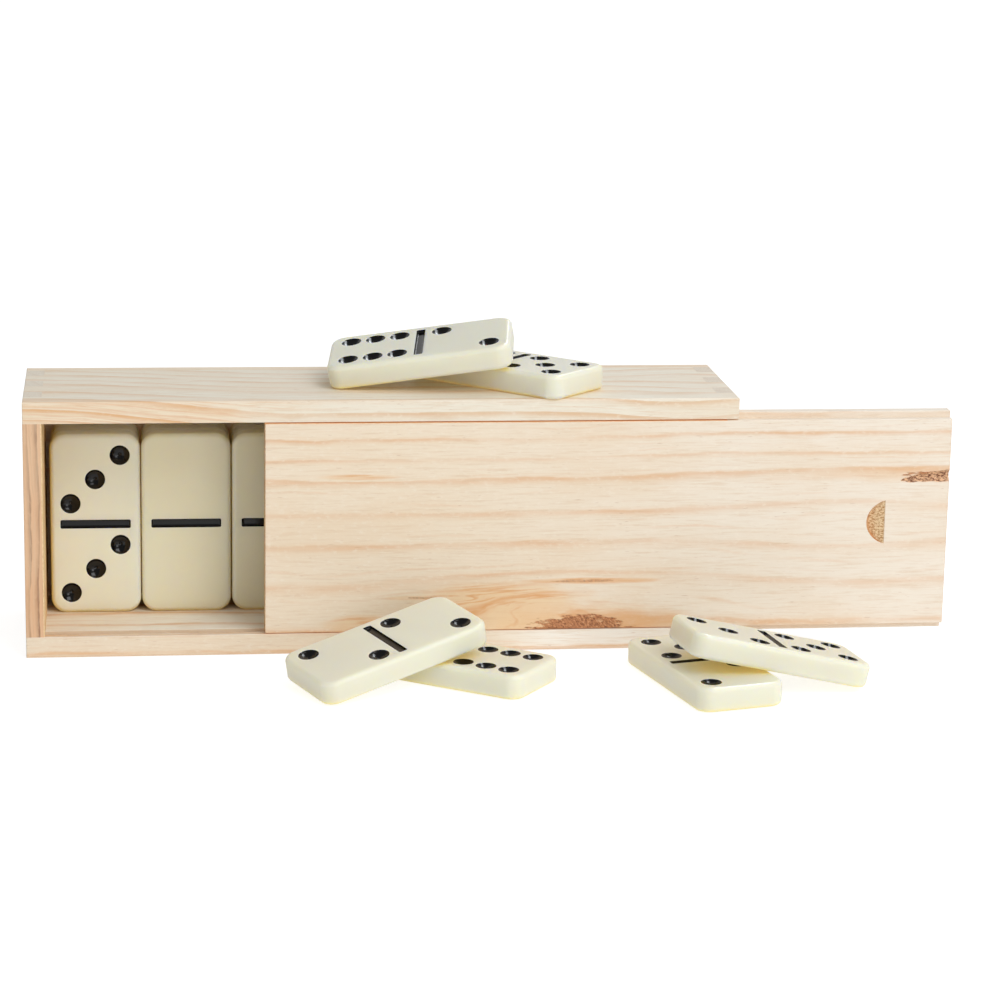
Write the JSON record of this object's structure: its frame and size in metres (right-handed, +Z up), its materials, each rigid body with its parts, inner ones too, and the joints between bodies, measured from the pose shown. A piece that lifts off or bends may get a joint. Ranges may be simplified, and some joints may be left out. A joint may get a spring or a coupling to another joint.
{
  "type": "domino storage box",
  "caption": "Finger-jointed pine box on its long side, with a sideways sliding lid with tongues and a thumb notch, packed with a double-six set of ivory resin tiles, some loose beside it.",
  "frame": {"origin": "centre of the underside of the box as it stands on its long side", "axes": "+X along the box towards the open end, the way the lid slides out; +Y from the lid to the back panel; +Z up"},
  "size_m": [0.2408, 0.1036, 0.0835],
  "materials": {
    "side_pine": "planed, untreated",
    "end_pine": "planed, untreated",
    "panel_pine": "planed, untreated",
    "lid_pine": "sanded, untreated",
    "tile_resin": "polished ivory resin, recesses filled glossy black"
  },
  "bodies": {
    "box": {"side_wall_lower": "side_pine", "side_wall_upper": "side_pine", "end_wall_closed": "end_pine", "end_wall_open": "end_pine", "back_panel": "panel_pine", "tile_0_1": "tile_resin", "tile_0_2": "tile_resin", "tile_0_3": "tile_resin", "tile_0_4": "tile_resin", "tile_0_5": "tile_resin", "tile_0_6": "tile_resin", "tile_1_2": "tile_resin", "tile_1_3": "tile_resin", "tile_1_4": "tile_resin", "tile_1_5": "tile_resin", "tile_1_6": "tile_resin", "tile_2_3": "tile_resin", "tile_2_4": "tile_resin", "tile_3_4": "tile_resin", "tile_3_6": "tile_resin", "tile_4_4": "tile_resin", "tile_4_6": "tile_resin", "tile_5_5": "tile_resin", "tile_5_6": "tile_resin"},
    "lid": {"lid": "lid_pine"},
    "tile_4_5": {"tile_4_5": "tile_resin"},
    "tile_2_6": {"tile_2_6": "tile_resin"},
    "tile_6_6": {"tile_6_6": "tile_resin"},
    "tile_2_2": {"tile_2_2": "tile_resin"},
    "tile_2_5": {"tile_2_5": "tile_resin"},
    "tile_3_5": {"tile_3_5": "tile_resin"},
    "tile_3_3": {"tile_3_3": "tile_resin"},
    "tile_0_0": {"tile_0_0": "tile_resin"},
    "tile_1_1": {"tile_1_1": "tile_resin"}
  },
  "joints": [
    {"name": "lid_slide", "type": "slide", "parent": "box", "child": "lid", "axis": [1, 0, 0], "range_m": [-0.0562, 0.123]},
    {"name": "lift_tile_4_5", "type": "slide", "parent": "box", "child": "tile_4_5", "axis": [0, 0, 1], "range_m": [0, 0.06]},
    {"name": "lift_tile_2_6", "type": "slide", "parent": "tile_4_5", "child": "tile_2_6", "axis": [0, 0, 1], "range_m": [0, 0.06]},
    {"name": "lift_tile_6_6", "type": "slide", "parent": "box", "child": "tile_6_6", "axis": [0, 0, 1], "range_m": [0, 0.06]},
    {"name": "lift_tile_2_2", "type": "slide", "parent": "tile_6_6", "child": "tile_2_2", "axis": [0, 0, 1], "range_m": [0, 0.06]},
    {"name": "lift_tile_2_5", "type": "slide", "parent": "box", "child": "tile_2_5", "axis": [0, 0, 1], "range_m": [0, 0.06]},
    {"name": "lift_tile_3_5", "type": "slide", "parent": "tile_2_5", "child": "tile_3_5", "axis": [0, 0, 1], "range_m": [0, 0.06]},
    {"name": "draw_tile_3_3", "type": "slide", "parent": "box", "child": "tile_3_3", "axis": [0, -1, 0], "range_m": [0, 0.05]},
    {"name": "draw_tile_0_0", "type": "slide", "parent": "box", "child": "tile_0_0", "axis": [0, -1, 0], "range_m": [0, 0.05]},
    {"name": "draw_tile_1_1", "type": "slide", "parent": "box", "child": "tile_1_1", "axis": [0, -1, 0], "range_m": [0, 0.017]}
  ]
}
